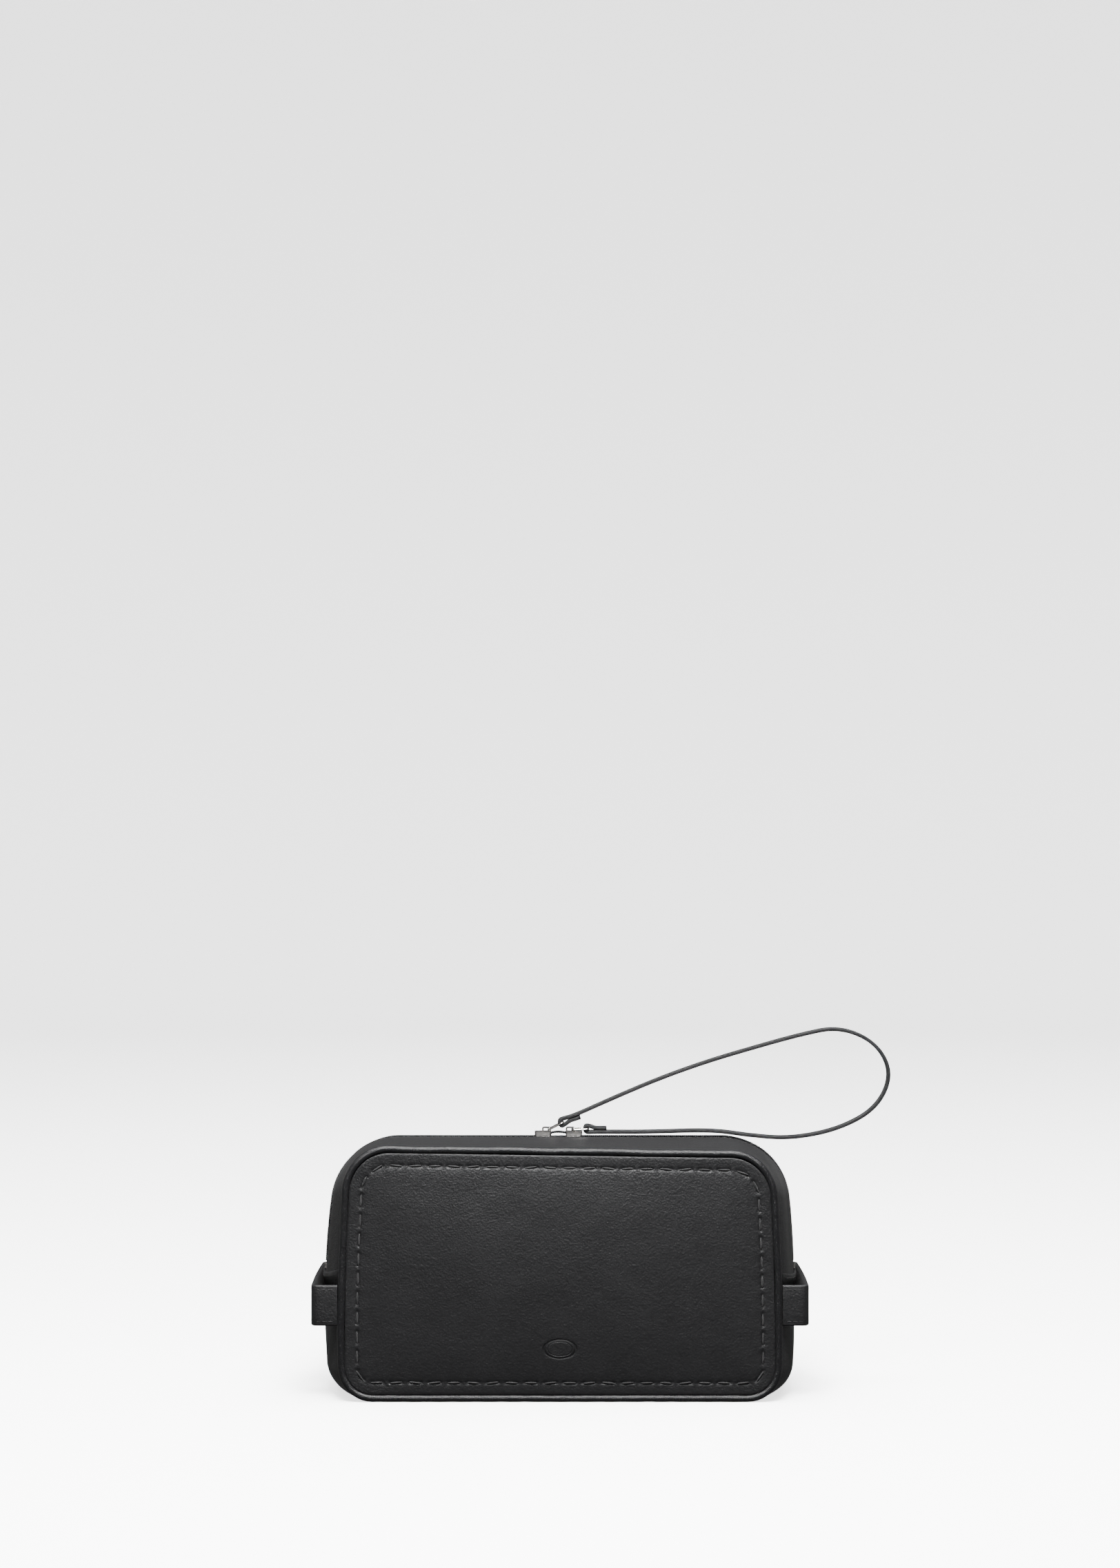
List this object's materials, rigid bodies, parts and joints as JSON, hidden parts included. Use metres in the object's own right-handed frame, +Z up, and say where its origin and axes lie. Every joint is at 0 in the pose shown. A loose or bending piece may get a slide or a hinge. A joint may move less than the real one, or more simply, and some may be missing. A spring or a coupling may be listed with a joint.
{
  "type": "makeup bag",
  "caption": "Soft black leather makeup bag with padded piped panels, a double-slider zip over the top, side grab handles and a thin leather wrist strap.",
  "frame": {"origin": "centre of the bag's flat base, on the surface it stands on", "axes": "+X along the bag's width towards the wrist strap's loop, -Y out of the front panel, +Z up"},
  "size_m": [0.317, 0.1068, 0.1988],
  "materials": {
    "panel_leather": "fine grain, low sheen",
    "gusset_leather": "fine grain, low sheen",
    "piping_leather": "fine grain, slightly polished",
    "handle_leather": "fine grain, low sheen",
    "strap_leather": "smooth",
    "foam_padding": "soft foam",
    "lining_cloth": "plain weave",
    "base_board": "stiff board",
    "zip_tape": "woven tape",
    "zip_coil": "nylon coil",
    "polished_nickel": "polished nickel"
  },
  "bodies": {
    "bag": {"front_panel": "panel_leather", "back_panel": "panel_leather", "front_foam": "foam_padding", "back_foam": "foam_padding", "front_lining": "lining_cloth", "back_lining": "lining_cloth", "front_piping": "piping_leather", "back_piping": "piping_leather", "base_gusset": "gusset_leather", "base_board": "base_board", "gusset_lining": "lining_cloth", "gusset_front_left": "gusset_leather", "gusset_front_right": "gusset_leather", "gusset_back_left": "gusset_leather", "gusset_back_right": "gusset_leather", "zip_tape_front": "zip_tape", "zip_tape_back": "zip_tape", "zip_coil_front": "zip_coil", "zip_coil_back": "zip_coil", "zip_stop_left": "polished_nickel", "zip_stop_right": "polished_nickel", "side_handle_left": "handle_leather", "side_handle_right": "handle_leather", "wrist_strap": "strap_leather"},
    "mouth_front": {"mouth_flap_front": "gusset_leather", "mouth_lining_front": "lining_cloth"},
    "mouth_back": {"mouth_flap_back": "gusset_leather", "mouth_lining_back": "lining_cloth"},
    "slider_left": {"slider_left_body": "polished_nickel", "slider_left_bail": "polished_nickel"},
    "slider_right": {"slider_right_body": "polished_nickel", "slider_right_bail": "polished_nickel"},
    "pull_left": {"pull_link_left": "polished_nickel"},
    "pull_right": {"pull_link_right": "polished_nickel"}
  },
  "joints": [
    {"name": "zip_open", "type": "slide", "parent": "bag", "child": "slider_left", "axis": [-1, 0, 0], "range_m": [0, 0.07], "deforming": ["zip_tape_front", "zip_tape_back", "zip_coil_front", "zip_coil_back", "wrist_strap"]},
    {"name": "zip_open_right", "type": "slide", "parent": "bag", "child": "slider_right", "axis": [1, 0, 0], "range_m": [0, 0.07]},
    {"name": "mouth_front_lift", "type": "hinge", "parent": "bag", "child": "mouth_front", "pos_m": [0, -0.047, 0.1355], "axis": [1, 0, 0], "range_deg": [0, 60]},
    {"name": "mouth_back_lift", "type": "hinge", "parent": "bag", "child": "mouth_back", "pos_m": [0, 0.047, 0.1355], "axis": [-1, 0, 0], "range_deg": [0, 60]},
    {"name": "pull_left_swing", "type": "hinge", "parent": "slider_left", "child": "pull_left", "pos_m": [-0.00635, 0, 0.1423], "axis": [0, -1, 0], "range_deg": [-6, 8]},
    {"name": "pull_right_swing", "type": "hinge", "parent": "slider_right", "child": "pull_right", "pos_m": [0.0067, 0, 0.1423], "axis": [0, -1, 0], "range_deg": [-1, 8]}
  ],
  "couplings": [
    {"joint": "zip_open_right", "follows": "zip_open", "ratio": 1},
    {"joint": "mouth_front_lift", "follows": "zip_open", "rad_per_m": 14.945},
    {"joint": "mouth_back_lift", "follows": "zip_open", "rad_per_m": 14.945}
  ]
}
